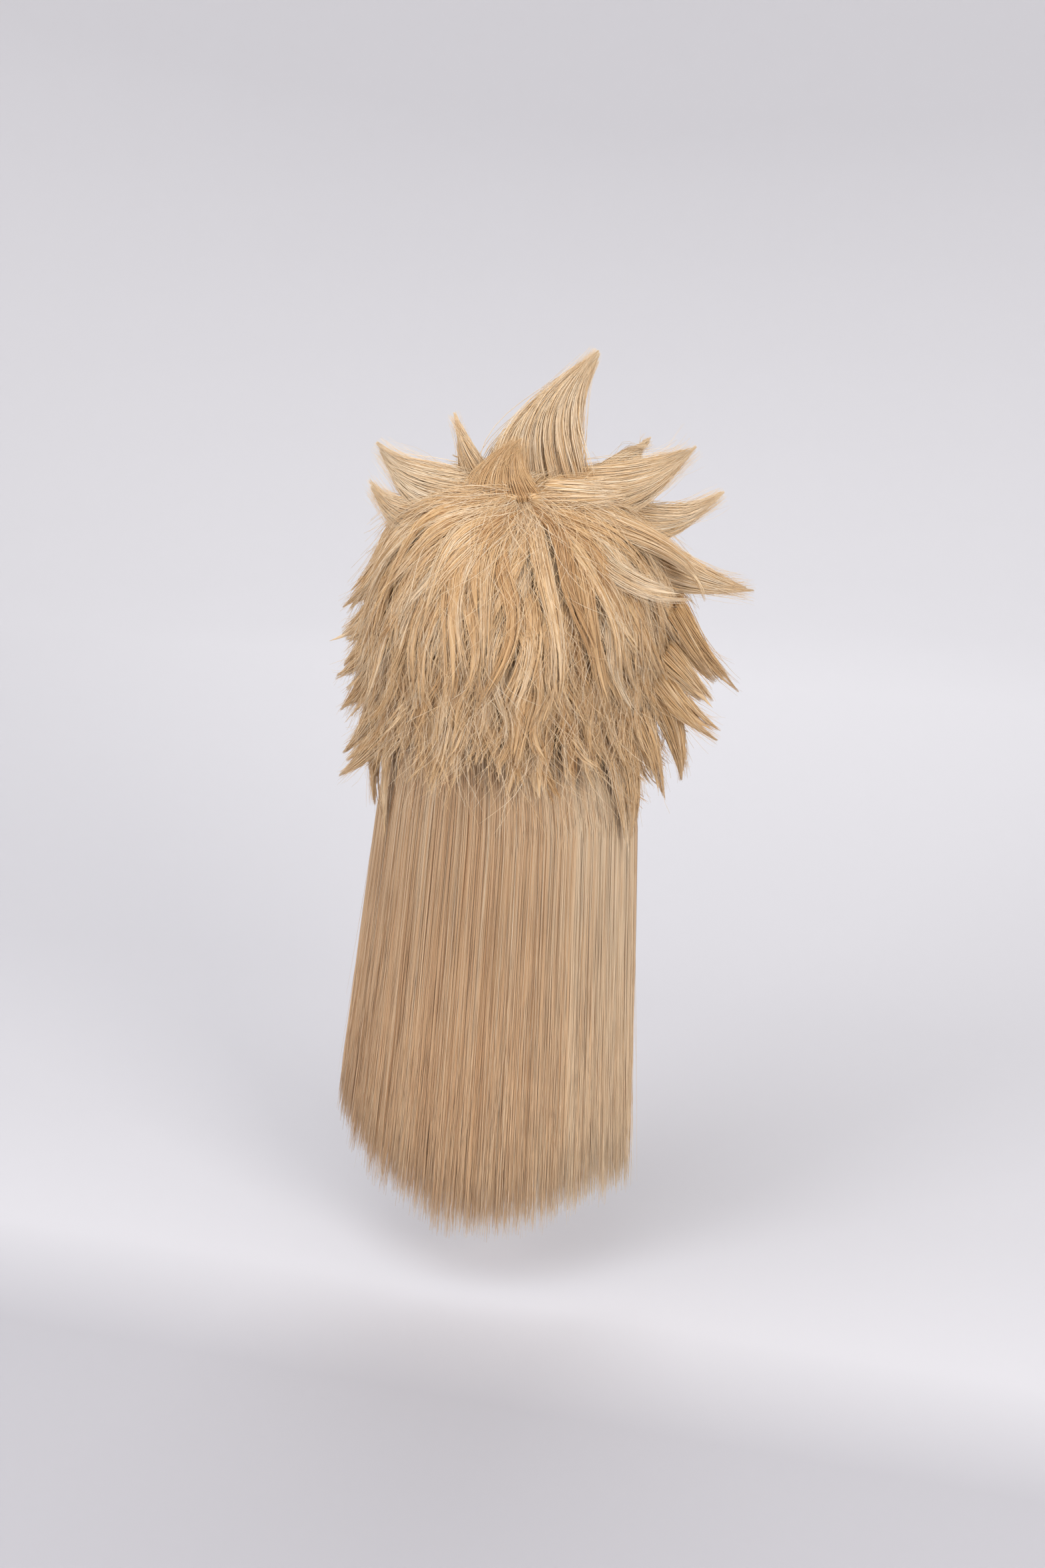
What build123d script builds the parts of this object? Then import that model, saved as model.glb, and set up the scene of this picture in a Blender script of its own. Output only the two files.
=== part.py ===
"""Two-length costume wig: sewn cap, snap combs, nape straps, short spiky layers and a long back curtain.

Millimetres. +Z is up, the face opening looks along -Y, the nape is at +Y and the wearer's right is -X.
The origin is the middle of the head cavity at the level of the brow.
"""

from build123d import *
import os
from math import sqrt

# --- head and cap -----------------------------------------------------------------------------------
HEAD = (77.0, 97.0, 106.0)  # inner half-sizes of the cap: a 56 to 58 cm head
NET = (0.0, 0.9)  # how far each sewn layer lies outside the head, from and to
RIBBON = (1.0, 1.8)
TRACK = (1.9, 3.1)
HAIR_START = 3.4
SEAM = 0.1  # gap between cap panels
FAR = 200.0  # longer than any cap layer, for cutting blocks
CAP_EDGE = [  # the cap's lower edge seen from the side, as (y, z) from the forehead round to the nape
    (-130, 28), (-62, 22), (-48, -30), (-30, -36), (-16, -30), (-12, 0), (0, 8), (12, 0),
    (24, -34), (58, -75), (140, -75),
]  # fmt: skip
BAND_TOP = 46.0
BAND_BACK = -52.0
EAR_TAB = (-51.9, -13.0)  # from and to along y
EAR_TAB_TOP = 16.0
NAPE_FRONT = 20.0
NAPE_TOP = -30.0
NET_SPLIT = 5.0  # the cross seam of the net, along y
WHORL_TILT = 24.0  # degrees that the whorl lies behind the top of the head
PATCH_RADIUS = 24.0

# --- ribbons, weft tracks and stays -----------------------------------------------------------------
RIBBON_WIDTH = 10.0
SIDE_RIBBON_X = 39.0
TRACK_HEIGHT = 5.0
TRACK_COUNT = 6
TRACK_LOWEST = -71.0
TRACK_STEP = 22.0
TRACK_FRONT_LOW = 18.0
TRACK_FRONT_HIGH = -45.0
STAY_WIDTH = 5.0
STAY_Y = -36.0
STAY_Z = (-28.0, 12.0)

# --- plain hair solids ------------------------------------------------------------------------------
HAIR = (108.0, 120.0, 118.0)  # half-sizes of the short hair's mass
HAIR_GAP = 0.3
CROWN_FLOOR = 62.0
SIDE_HAIR = (-55.0, 18.0)
SIDE_FLOOR = -28.0
BACK_SPLIT = 6.0
BACK_FLOOR = -48.0
FRONT_FLOOR = 24.0
SKIRT_IN = (106.0, 118.0, 200.0)  # the low layers stand off round the nape like a barrel
SKIRT_OUT = (116.0, 128.0, 200.0)
SKIRT_CENTRE = -20.0
SKIRT_Z = (-95.0, -10.0)
SKIRT_FRONT = -15.0
SKIRT_SPLIT = 35.0
TIP_RADIUS = 0.8

# --- long back hair ---------------------------------------------------------------------------------
LONG_ROWS = ("inner", "middle", "outer")
LONG_STEP = 5.3
# height, half-width and depth of the inner row, its opening angle, sideways drift and its thickness
LONG_SECTIONS = [
    (-68.0, 65.0, 80.0, 62.0, 0.0, 5.0),
    (-110.0, 82.0, 80.0, 68.0, 0.0, 5.0),
    (-430.0, 100.0, 80.0, 68.0, 12.0, 4.0),
]

# --- snap combs -------------------------------------------------------------------------------------
COMB_WIDTH = 32.0
COMB_FRAME = 12.0
COMB_FACE = -3.4  # inner face of the sewn frame, measured outward from the cap's inner surface
COMB_PIN_AT = -5.2
PIN_RADIUS = 0.9
PIN_PRESS = 0.02
PIN_RUNNING = 0.1
KNUCKLE_RADIUS = 1.7
LEAF_WIDTH = 26.0
LEAF_THICK = 1.1
LEAF_BAR = 6.0
TOOTH_COUNT = 9
TOOTH_LENGTH = 13.0
TOOTH_WIDTH = 1.2
LUG_THICK = 2.4
COMB_SPOTS = {  # where each comb's pin crosses the cap: (side of x, y, z); the surface gives the third
    "front": (0, None, 44.0),
    "nape": (0, 1, -36.0),
    "left": (1, -30.0, 16.0),
    "right": (-1, -30.0, 16.0),
}

# --- nape straps ------------------------------------------------------------------------------------
STRAP_Z = -62.0
STRAP_START = (45.0, 44.0)  # x and y behind the left ear
STRAP_END = (9.0, 70.5)
STRAP_HEIGHT = 8.0
STRAP_THICK = 1.0
STRAP_STOP = 2.0
HOOK_AT = 9.0  # from the strap's free end
HOOK_CLEAR = 0.35
HOOK_WALL = 1.0
HOOK_LENGTH = 5.0
LOOP_Z = -50.0
LOOP_FIRST_X = 5.0
LOOP_STEP = 5.0
LOOP_COUNT = 4


def dome(offset):
    """The head's own form, grown outward by offset."""
    return scale(Sphere(1), by=tuple(half + offset for half in HEAD))


def ellipsoid(halves, centre_z=0.0):
    """An ellipsoid with these half-sizes, centred above the origin."""
    return Pos(0, 0, centre_z) * scale(Sphere(1), by=halves)


def block(x, y, z):
    """A box given by its lowest and highest value along each axis."""
    size = [high - low for low, high in (x, y, z)]
    middle = [(high + low) / 2 for low, high in (x, y, z)]
    return Pos(*middle) * Box(*size)


def side_profile():
    """The solid above the cap's lower edge."""
    outline = CAP_EDGE + [(140, 160), (-130, 160)]
    with BuildSketch(Plane.YZ) as sketch:
        with BuildLine():
            Polyline(*outline, close=True)
        make_face()
    return extrude(sketch.sketch, amount=FAR, both=True)


ABOVE_EDGE = side_profile()
ALL = (-FAR, FAR)


def layer(span, region=None):
    """A sewn layer of the cap between two offsets, kept inside the region."""
    shell = (dome(span[1]) - dome(span[0])) & ABOVE_EDGE
    return shell if region is None else shell & region


def whorl_cylinder(radius, length):
    """A cylinder that stands on the cap at the whorl."""
    return Rot(-WHORL_TILT, 0, 0) * Pos(0, 0, length / 2) * Cylinder(radius, length)


def cap_panels():
    """The net dome in three panels, the four bands that edge it and the crown patch."""
    bands = {  # each band's span along x and y, and its top
        "front_band": (ALL, (-FAR, BAND_BACK), BAND_TOP),
        "left_ear_tab": ((0, FAR), EAR_TAB, EAR_TAB_TOP),
        "right_ear_tab": ((-FAR, 0), EAR_TAB, EAR_TAB_TOP),
        "nape_panel": (ALL, (NAPE_FRONT, FAR), NAPE_TOP),
    }
    made = {name: layer(NET, block(x, y, (-FAR, top))) for name, (x, y, top) in bands.items()}
    crown = layer(NET)
    for x, (front, back), top in bands.values():
        crown -= block(x, (front - SEAM, back + SEAM), (-FAR, top + SEAM))
    for name, x, y in (
        ("front", ALL, (-FAR, NET_SPLIT)),
        ("left", (SEAM, FAR), (NET_SPLIT + SEAM, FAR)),
        ("right", (-FAR, -SEAM), (NET_SPLIT + SEAM, FAR)),
    ):
        made[f"{name}_crown_net"] = crown & block(x, y, ALL)
    made["crown_patch"] = layer(TRACK, whorl_cylinder(PATCH_RADIUS, FAR))
    return made


def ribbons_and_tracks():
    """Fore-and-aft ribbons, the horizontal wefts' tracks sewn on them, and the bendable temple stays."""
    made = {}
    for name, x in (("centre", 0.0), ("left", SIDE_RIBBON_X), ("right", -SIDE_RIBBON_X)):
        across = (x - RIBBON_WIDTH / 2, x + RIBBON_WIDTH / 2)
        made[f"{name}_ribbon"] = layer(RIBBON, block(across, ALL, (-FAR, FAR)))
    for row in range(TRACK_COUNT):
        z = TRACK_LOWEST + row * TRACK_STEP
        front = TRACK_FRONT_LOW if z < 0 else TRACK_FRONT_HIGH
        made[f"weft_track_{row + 1}"] = layer(TRACK, block(ALL, (front, FAR), (z, z + TRACK_HEIGHT)))
    along = (STAY_Y - STAY_WIDTH / 2, STAY_Y + STAY_WIDTH / 2)
    made["left_temple_stay"] = layer(RIBBON, block((0, FAR), along, STAY_Z))
    made["right_temple_stay"] = layer(RIBBON, block((-FAR, 0), along, STAY_Z))
    return made


def hair_masses():
    """Plain solids for the short hair over the crown, sides, back and forehead."""
    mass = ellipsoid(HAIR) - dome(HAIR_START)
    upper = (BACK_SPLIT + HAIR_GAP, CROWN_FLOOR - HAIR_GAP)
    side = (SIDE_FLOOR, CROWN_FLOOR - HAIR_GAP)
    behind = (SIDE_HAIR[1] + HAIR_GAP, FAR)
    ahead = (-FAR, SIDE_HAIR[0] - HAIR_GAP)
    return {
        "crown_hair": mass & block(ALL, ALL, (CROWN_FLOOR, FAR)),
        "left_hair": mass & block((0, FAR), SIDE_HAIR, side),
        "right_hair": mass & block((-FAR, 0), SIDE_HAIR, side),
        "upper_back_hair": mass & block(ALL, behind, upper),
        "lower_back_hair": mass & block(ALL, behind, (BACK_FLOOR, BACK_SPLIT)),
        "front_hair": mass & block(ALL, ahead, (FRONT_FLOOR, CROWN_FLOOR - HAIR_GAP)),
    }


def low_layers():
    """The lowest short layers, which stand off round the nape."""
    core = ellipsoid(tuple(half + HAIR_GAP for half in HAIR))
    skirt = ellipsoid(SKIRT_OUT, SKIRT_CENTRE) - ellipsoid(SKIRT_IN, SKIRT_CENTRE) - core
    skirt &= block(ALL, (SKIRT_FRONT, FAR), SKIRT_Z)
    inner = SKIRT_SPLIT - HAIR_GAP
    return {
        "left_low_layer": skirt & block((SKIRT_SPLIT, FAR), ALL, ALL),
        "back_low_layer": skirt & block((-inner, inner), ALL, ALL),
        "right_low_layer": skirt & block((-FAR, -SKIRT_SPLIT), ALL, ALL),
    }


def lock(root, tip, radius):
    """A straight tapering lock of hair from its root to its tip."""
    run = Vector(*tip) - Vector(*root)
    stand = Plane(origin=(Vector(*root) + Vector(*tip)) * 0.5, z_dir=run)
    return stand.location * Cone(radius, TIP_RADIUS, run.length)


LOCKS = {  # each lock's root, tip and root radius; the longest spikes first, because later ones give way
    "top_spike": [((-12, 2, 92), (-50, -26, 197), 30)],
    "right_spike_1": [((-50, -4, 88), (-113, -35, 132), 21)],
    "right_spike_2": [((-78, -12, 66), (-136, -31, 104), 19)],
    "right_spike_3": [((-88, -22, 34), (-155, -47, 30), 17)],
    "left_spike_1": [((44, 28, 92), (96, 29, 136), 19)],
    "left_spike_2": [((62, 48, 74), (97, 44, 110), 12)],
    "right_far_spike": [((-48, -38, 86), (-77, -55, 135), 13)],
    "small_top_spikes": [((-4, 24, 98), (-7, 19, 140), 9), ((28, 16, 98), (44, 13, 156), 9)],
    "right_curled_lock": [((-74, 42, 62), (-130, 34, 44), 12)],
    "left_side_locks": [
        ((76, 50, 46), (121, 50, 20), 12),
        ((90, 42, 14), (134, 52, -8), 13),
        ((92, 40, -20), (131, 51, -45), 13),
        ((90, 44, -62), (126, 52, -100), 12),
    ],
    "right_side_locks": [
        ((-98, -10, -6), (-152, -36, -42), 16),
        ((-98, 4, -34), (-138, -11, -64), 13),
        ((-94, 22, -62), (-118, 18, -98), 12),
    ],
    "fringe_locks": [
        ((-52, -84, 46), (-62, -102, -8), 13),
        ((-24, -100, 46), (-32, -120, -2), 13),
        ((4, -102, 48), (2, -127, 4), 13),
        ((30, -98, 46), (36, -118, -6), 13),
        ((54, -82, 46), (66, -100, -12), 13),
    ],
    "sideburn_locks": [
        ((-84, -62, 26), (-90, -76, -78), 11),
        ((84, -62, 26), (90, -76, -78), 11),
    ],
}


def touching(one, other):
    """Whether the boxes round two solids meet."""
    a, b = one.bounding_box(), other.bounding_box()
    return all(
        low <= top and bottom <= high
        for low, high, bottom, top in zip(tuple(a.min), tuple(a.max), tuple(b.min), tuple(b.max), strict=True)
    )


def styled_locks(around):
    """Every standing lock, cut back from the hair mass, the solids around it and the locks before it."""
    core = ellipsoid(tuple(half + HAIR_GAP for half in HAIR))
    done, made = list(around), {}
    for name, shapes in LOCKS.items():
        kept = []
        for root, tip, radius in shapes:
            solid = lock(root, tip, radius) - core
            for other in done:
                if touching(solid, other):
                    solid -= other
            solid = max(solid.solids(), key=lambda piece: piece.volume)
            kept.append(solid)
            done.append(solid)
        made[name] = kept[0] if len(kept) == 1 else Compound(children=kept)
    return made


def long_section(row, height, half_width, depth, opening, drift, thick):
    """One level of a long row: a strip bent round the nape like part of an ellipse."""
    inset = row * LONG_STEP
    sweep = {"start_angle": 90 - opening, "arc_size": 2 * opening}
    radii = (half_width + inset, depth + inset)
    with BuildSketch(Plane.XY.offset(height)) as sketch:
        with BuildLine():
            inner = EllipticalCenterArc((drift, 0), *radii, **sweep)
            outer = EllipticalCenterArc((drift, 0), *(radius + thick for radius in radii), **sweep)
            Line(inner @ 0, outer @ 0)
            Line(inner @ 1, outer @ 1)
        make_face()
    return sketch.sketch


def long_hair():
    """Three sewn rows of straight hair that hang from the nape."""
    rows = {}
    for row, name in enumerate(LONG_ROWS):
        sections = [long_section(row, *numbers) for numbers in LONG_SECTIONS]
        rows[f"{name}_long_row"] = loft(sections, ruled=True)
    return rows


def cap_point(side, y, z):
    """A point on the cap's inner surface, and the outward normal there."""
    a, b, c = HEAD
    if side:
        x = side * a * sqrt(1 - (y / b) ** 2 - (z / c) ** 2)
    else:
        x = 0.0
        y = b * sqrt(1 - (z / c) ** 2) * (-1 if y is None else 1)
    return Vector(x, y, z), Vector(x / a**2, y / b**2, z / c**2).normalized()


def comb_plane(spot):
    """A comb's own plane: x along its pin, y towards its teeth, z out of the head."""
    point, normal = cap_point(*COMB_SPOTS[spot])
    up = (Vector(0, 0, 1) - normal * normal.Z).normalized()
    return Plane(origin=point, x_dir=up.cross(normal), z_dir=normal)


def comb_frame(plane):
    """The plate sewn to the cap, with its stitch holes and the two lugs that hold the pin."""
    half = COMB_WIDTH / 2
    plate = block((-half, half), (-COMB_FRAME / 2, COMB_FRAME / 2), (COMB_FACE, 2))
    for side in (-1, 1):
        lug = (half - LUG_THICK, half) if side > 0 else (-half, LUG_THICK - half)
        plate += block(lug, (-KNUCKLE_RADIUS, KNUCKLE_RADIUS), (COMB_PIN_AT - KNUCKLE_RADIUS, COMB_FACE))
        for x in (4.0, 9.5):
            for y in (-4.2, 4.2):
                plate -= Pos(side * x, y, 0) * Cylinder(0.8, 12)
    plate -= Pos(0, 0, COMB_PIN_AT) * Rot(0, 90, 0) * Cylinder(PIN_RADIUS + PIN_PRESS, COMB_WIDTH + 2)
    return (plane.location * plate) & dome(-0.05)


def comb_pin(plane):
    """The pin that a comb's leaf turns on."""
    return plane.location * Pos(0, 0, COMB_PIN_AT) * Rot(0, 90, 0) * Cylinder(PIN_RADIUS, COMB_WIDTH - 0.6)


def comb_leaf(plane):
    """The toothed leaf with the knuckle that turns on the pin."""
    half = LEAF_WIDTH / 2
    flat = (COMB_PIN_AT - LEAF_THICK / 2, COMB_PIN_AT + LEAF_THICK / 2)
    leaf = Pos(0, 0, COMB_PIN_AT) * Rot(0, 90, 0) * Cylinder(KNUCKLE_RADIUS - 0.3, LEAF_WIDTH)
    leaf += block((-half, half), (0, LEAF_BAR), flat)
    pitch = (LEAF_WIDTH - TOOTH_WIDTH) / (TOOTH_COUNT - 1)
    for index in range(TOOTH_COUNT):
        x = -half + TOOTH_WIDTH / 2 + index * pitch
        end = LEAF_BAR + TOOTH_LENGTH
        leaf += block((x - TOOTH_WIDTH / 2, x + TOOTH_WIDTH / 2), (LEAF_BAR - 1, end), flat)
    bore = Pos(0, 0, COMB_PIN_AT) * Rot(0, 90, 0) * Cylinder(PIN_RADIUS + PIN_RUNNING, LEAF_WIDTH + 2)
    return plane.location * (leaf - bore)


def combs():
    """Four snap combs: a sewn frame and a leaf each, and their pins as one group."""
    made, pins = {}, []
    for spot in COMB_SPOTS:
        plane = comb_plane(spot)
        made[f"{spot}_comb_frame"] = comb_frame(plane)
        made[f"{spot}_comb_leaf"] = comb_leaf(plane)
        pins.append(comb_pin(plane))
    made["comb_pins"] = Compound(children=pins)
    return made


def strap_plane():
    """The left strap's own plane: x from its sewn end to its free end, y out of the head, z up."""
    start = Vector(*STRAP_START, STRAP_Z)
    end = Vector(*STRAP_END, STRAP_Z)
    along = end - start
    return Plane(origin=start, x_dir=along, z_dir=(0, 0, 1)), along.length


def strap_parts():
    """The left elastic strap, its sliding hook and the row of loops that the hook catches in."""
    plane, length = strap_plane()
    high, thick = STRAP_HEIGHT / 2, STRAP_THICK / 2
    strap = block((-2, length), (-thick, thick), (-high, high))
    strap += block((length - STRAP_STOP, length), (-2 * thick, 2 * thick), (-high, high))
    strap = plane.location * strap
    pad = plane.location * block((-6, 2), (-16, 16), (-high, high))
    strap += pad & (dome(-0.05) - dome(-3.0))
    inner = (thick + HOOK_CLEAR, high + HOOK_CLEAR)
    outer = (inner[0] + HOOK_WALL, inner[1] + HOOK_WALL)
    at = length - HOOK_AT
    span = (at - HOOK_LENGTH / 2, at + HOOK_LENGTH / 2)
    hook = block(span, (-outer[0], outer[0]), (-outer[1], outer[1]))
    hook -= block((span[0] - 1, span[1] + 1), (-inner[0], inner[0]), (-inner[1], inner[1]))
    stem = (at - 0.8, at + 0.8)
    hook += block(stem, (-outer[0], -outer[0] + 1.2), (outer[1] - 0.1, outer[1] + 2.4))
    hook += block((at - 0.8, at + 3.0), (-outer[0], -outer[0] + 1.2), (outer[1] + 1.4, outer[1] + 2.4))
    loops = []
    for index in range(LOOP_COUNT):
        x = LOOP_FIRST_X + index * LOOP_STEP
        wall = block((x - 1.6, x + 1.6), (0, FAR), (LOOP_Z - 2.4, LOOP_Z + 2.4))
        hole = block((x - 0.9, x + 0.9), (0, FAR), (LOOP_Z - 1.6, LOOP_Z + 1.6))
        loops.append((wall - hole) & (dome(-0.05) - dome(-2.4)))
    return {"strap": strap, "hook": plane.location * hook, "strap_loops": Compound(children=loops)}


def straps():
    """Both nape straps: the right one mirrors the left."""
    made = {}
    for name, shape in strap_parts().items():
        made[f"left_{name}"] = shape
        made[f"right_{name}"] = mirror(shape, about=Plane.YZ)
    return made


def main():
    low = low_layers()
    nodes = cap_panels() | ribbons_and_tracks() | hair_masses() | low
    nodes |= styled_locks(low.values()) | long_hair() | combs() | straps()
    os.makedirs("parts", exist_ok=True)
    for name, shape in nodes.items():
        export_step(shape, f"parts/{name}.step")


main()
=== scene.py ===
"""Costume wig: the looks of a two-length wig with standing spikes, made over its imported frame.

The frame is in metres: +Z is up, the face opening looks along -Y and the wearer's left is +X. Sizes inside
the hair code are in millimetres, and are turned to metres where a mesh is made.
"""

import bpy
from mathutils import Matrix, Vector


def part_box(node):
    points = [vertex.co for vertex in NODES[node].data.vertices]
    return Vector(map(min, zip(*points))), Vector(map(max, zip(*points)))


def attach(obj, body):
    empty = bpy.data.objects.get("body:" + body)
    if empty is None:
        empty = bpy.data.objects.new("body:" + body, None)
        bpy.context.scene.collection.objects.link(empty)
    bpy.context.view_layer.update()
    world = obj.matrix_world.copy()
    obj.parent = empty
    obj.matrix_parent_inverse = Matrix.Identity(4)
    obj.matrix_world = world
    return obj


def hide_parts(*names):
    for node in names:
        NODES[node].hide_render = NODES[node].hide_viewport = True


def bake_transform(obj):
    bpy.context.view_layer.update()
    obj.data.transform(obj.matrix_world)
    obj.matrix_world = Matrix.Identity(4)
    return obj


bl_info = {
    "name": "Costume wig",
    "version": (1, 0, 0),
    "blender": (4, 5, 0),
    "location": "3D View > Sidebar > Wig",
    "description": "Makes the wig's layers, spikes, long rows, cap finish and studio",
    "category": "Object",
}

import bpy
import numpy as np
from bpy.props import FloatProperty, FloatVectorProperty, IntProperty, PointerProperty
from mathutils import Vector

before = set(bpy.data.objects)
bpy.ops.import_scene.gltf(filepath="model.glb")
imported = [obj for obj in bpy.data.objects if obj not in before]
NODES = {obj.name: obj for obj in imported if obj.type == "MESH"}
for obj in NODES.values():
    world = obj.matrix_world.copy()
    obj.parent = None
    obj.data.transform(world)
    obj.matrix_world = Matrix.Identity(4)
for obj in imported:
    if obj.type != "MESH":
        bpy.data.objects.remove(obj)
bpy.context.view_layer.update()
MM = 0.001
DOWN = np.array([0.0, 0.0, -1.0])
CAP = np.array(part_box("left_crown_net")[1]) / MM  # the half-sizes of the cap's net
SEWN = CAP + 2.6  # over the ribbons and tracks, where every fibre starts
STREAK_SCALE = (150.0, 2.5, 1.0)  # cells across the tones and along a fibre, for long thin streaks
STREAK_CHANGE = 0.26  # the most that a streak changes the tone


# ---- colours and materials ----


def linear(code):
    """A linear colour with alpha from an sRGB hex value."""
    parts = [int(code[i : i + 2], 16) / 255 for i in (1, 3, 5)]
    return tuple(c / 12.92 if c <= 0.04045 else ((c + 0.055) / 1.055) ** 2.4 for c in parts) + (1.0,)


def add(tree, kind, inputs=None, stops=None, **settings):
    """Adds a node, sets its settings and ramp stops, and links or sets its inputs by name or number."""
    made = tree.nodes.new(kind)
    for name, value in settings.items():
        setattr(made, name, value)
    for place, value in (inputs or {}).items():
        if isinstance(value, bpy.types.NodeSocket):
            tree.links.new(value, made.inputs[place])
        else:
            made.inputs[place].default_value = value
    if stops:
        ramp = made.color_ramp.elements
        while len(ramp) < len(stops):
            ramp.new(0.5)
        for element, (position, colour) in zip(ramp, stops):
            element.position = position
            element.color = colour
    return made


def material(name, build):
    """A node material whose surface is what build returns."""
    made = bpy.data.materials.new(name)
    made.use_nodes = True
    tree = made.node_tree
    tree.nodes.clear()
    shader = build(tree)
    add(tree, "ShaderNodeOutputMaterial", {"Surface": shader.outputs[0]})
    return made


def hair_fibre(name, shades, painted_light_and_shade):
    """Crimped modacrylic fibre: a satin thread whose shade changes from fibre to fibre.

    Tone is each fibre's own shade, and along runs from the sewn root to the thinned tip. Along carries
    painted shade near the root, under the layers, and painted light towards the ends. Tone also runs to and
    fro round a lock's core, so that the streaks there are about 0.4 mm wide, some five times as coarse as
    the real fibre.
    """

    def build(tree):
        tone = add(tree, "ShaderNodeAttribute", attribute_name="tone").outputs["Fac"]
        along = add(tree, "ShaderNodeAttribute", attribute_name="along").outputs["Fac"]
        place = add(tree, "ShaderNodeCombineXYZ", {"X": tone, "Y": along}).outputs[0]
        spread = add(tree, "ShaderNodeMapping", {"Vector": place, "Scale": STREAK_SCALE}).outputs[0]
        noise = {"Vector": spread, "Scale": 1.0, "Detail": 2.0, "Roughness": 0.6}
        streaks = add(tree, "ShaderNodeTexNoise", noise, noise_dimensions="2D").outputs[0]
        span = {0: streaks, 1: 0.25, 2: 0.75, 3: -STREAK_CHANGE, 4: STREAK_CHANGE}
        change = add(tree, "ShaderNodeMapRange", span)
        mixed = add(tree, "ShaderNodeMath", {0: tone, 1: change.outputs[0]}, operation="ADD")
        shade = add(tree, "ShaderNodeValToRGB", {0: mixed.outputs[0]}, stops=shades)
        # painted shade near the roots and painted light towards the ends, multiplied into each fibre's own
        # shade
        depth = add(tree, "ShaderNodeValToRGB", {0: along}, stops=painted_light_and_shade)
        both = {0: 1.0, "A": shade.outputs[0], "B": depth.outputs[0]}
        colour = add(tree, "ShaderNodeMix", both, data_type="RGBA", blend_type="MULTIPLY")
        gloss = add(tree, "ShaderNodeMapRange", {0: streaks, 1: 0.25, 2: 0.75, 3: 0.6, 4: 0.36})
        bump = add(tree, "ShaderNodeBump", {"Height": streaks, "Strength": 0.6, "Distance": 0.0004})
        surface = {
            "Base Color": colour.outputs["Result"],
            "Roughness": gloss.outputs[0],
            "IOR": 1.52,
            "Sheen Weight": 0.3,
            "Sheen Roughness": 0.45,
            "Sheen Tint": linear("#FFF2DC"),
            "Normal": bump.outputs[0],
        }
        return add(tree, "ShaderNodeBsdfPrincipled", surface)

    return material(name, build)


# ---- fibres and locks ----


def smooth(value):
    """A soft step from 0 to 1."""
    value = np.clip(value, 0.0, 1.0)
    return value * value * (3.0 - 2.0 * value)


def unit(vectors):
    """The same directions with length 1."""
    return vectors / np.maximum(np.linalg.norm(vectors, axis=-1, keepdims=True), 1e-9)


def curve(points, count):
    """A quadratic Bezier through a root, a bend and a tip."""
    root, bend, tip = (np.array(point, float) for point in points)
    t = np.linspace(0.0, 1.0, count)[:, None]
    return (1 - t) ** 2 * root + 2 * t * (1 - t) * bend + t**2 * tip


def along_line(line, places):
    """Points, or directions, on a line of points at these places from 0 to 1."""
    t = np.linspace(0.0, 1.0, len(line))
    return np.stack([np.interp(places, t, line[:, axis]) for axis in range(3)], axis=-1)


WEAVE = 0.08 * np.array([1, -1, 1, -1, 1, -1, 1, -1])  # how tone runs to and fro round a core's 8 sides
CORE_SIDES = len(WEAVE)
CORE_END = 0.88  # the share of a lock's length that its core reaches
FIBRE_SIDES = 3
FIBRE_RADIUS = (0.24, 0.38)  # some nine times the real fibre's, so that the mesh stays a useful size
STRAY_RADIUS = 0.2
LOOSE_RADIUS = 0.16
MAP_COLUMN = 0.004  # half the width that each fibre has on the map


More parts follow.
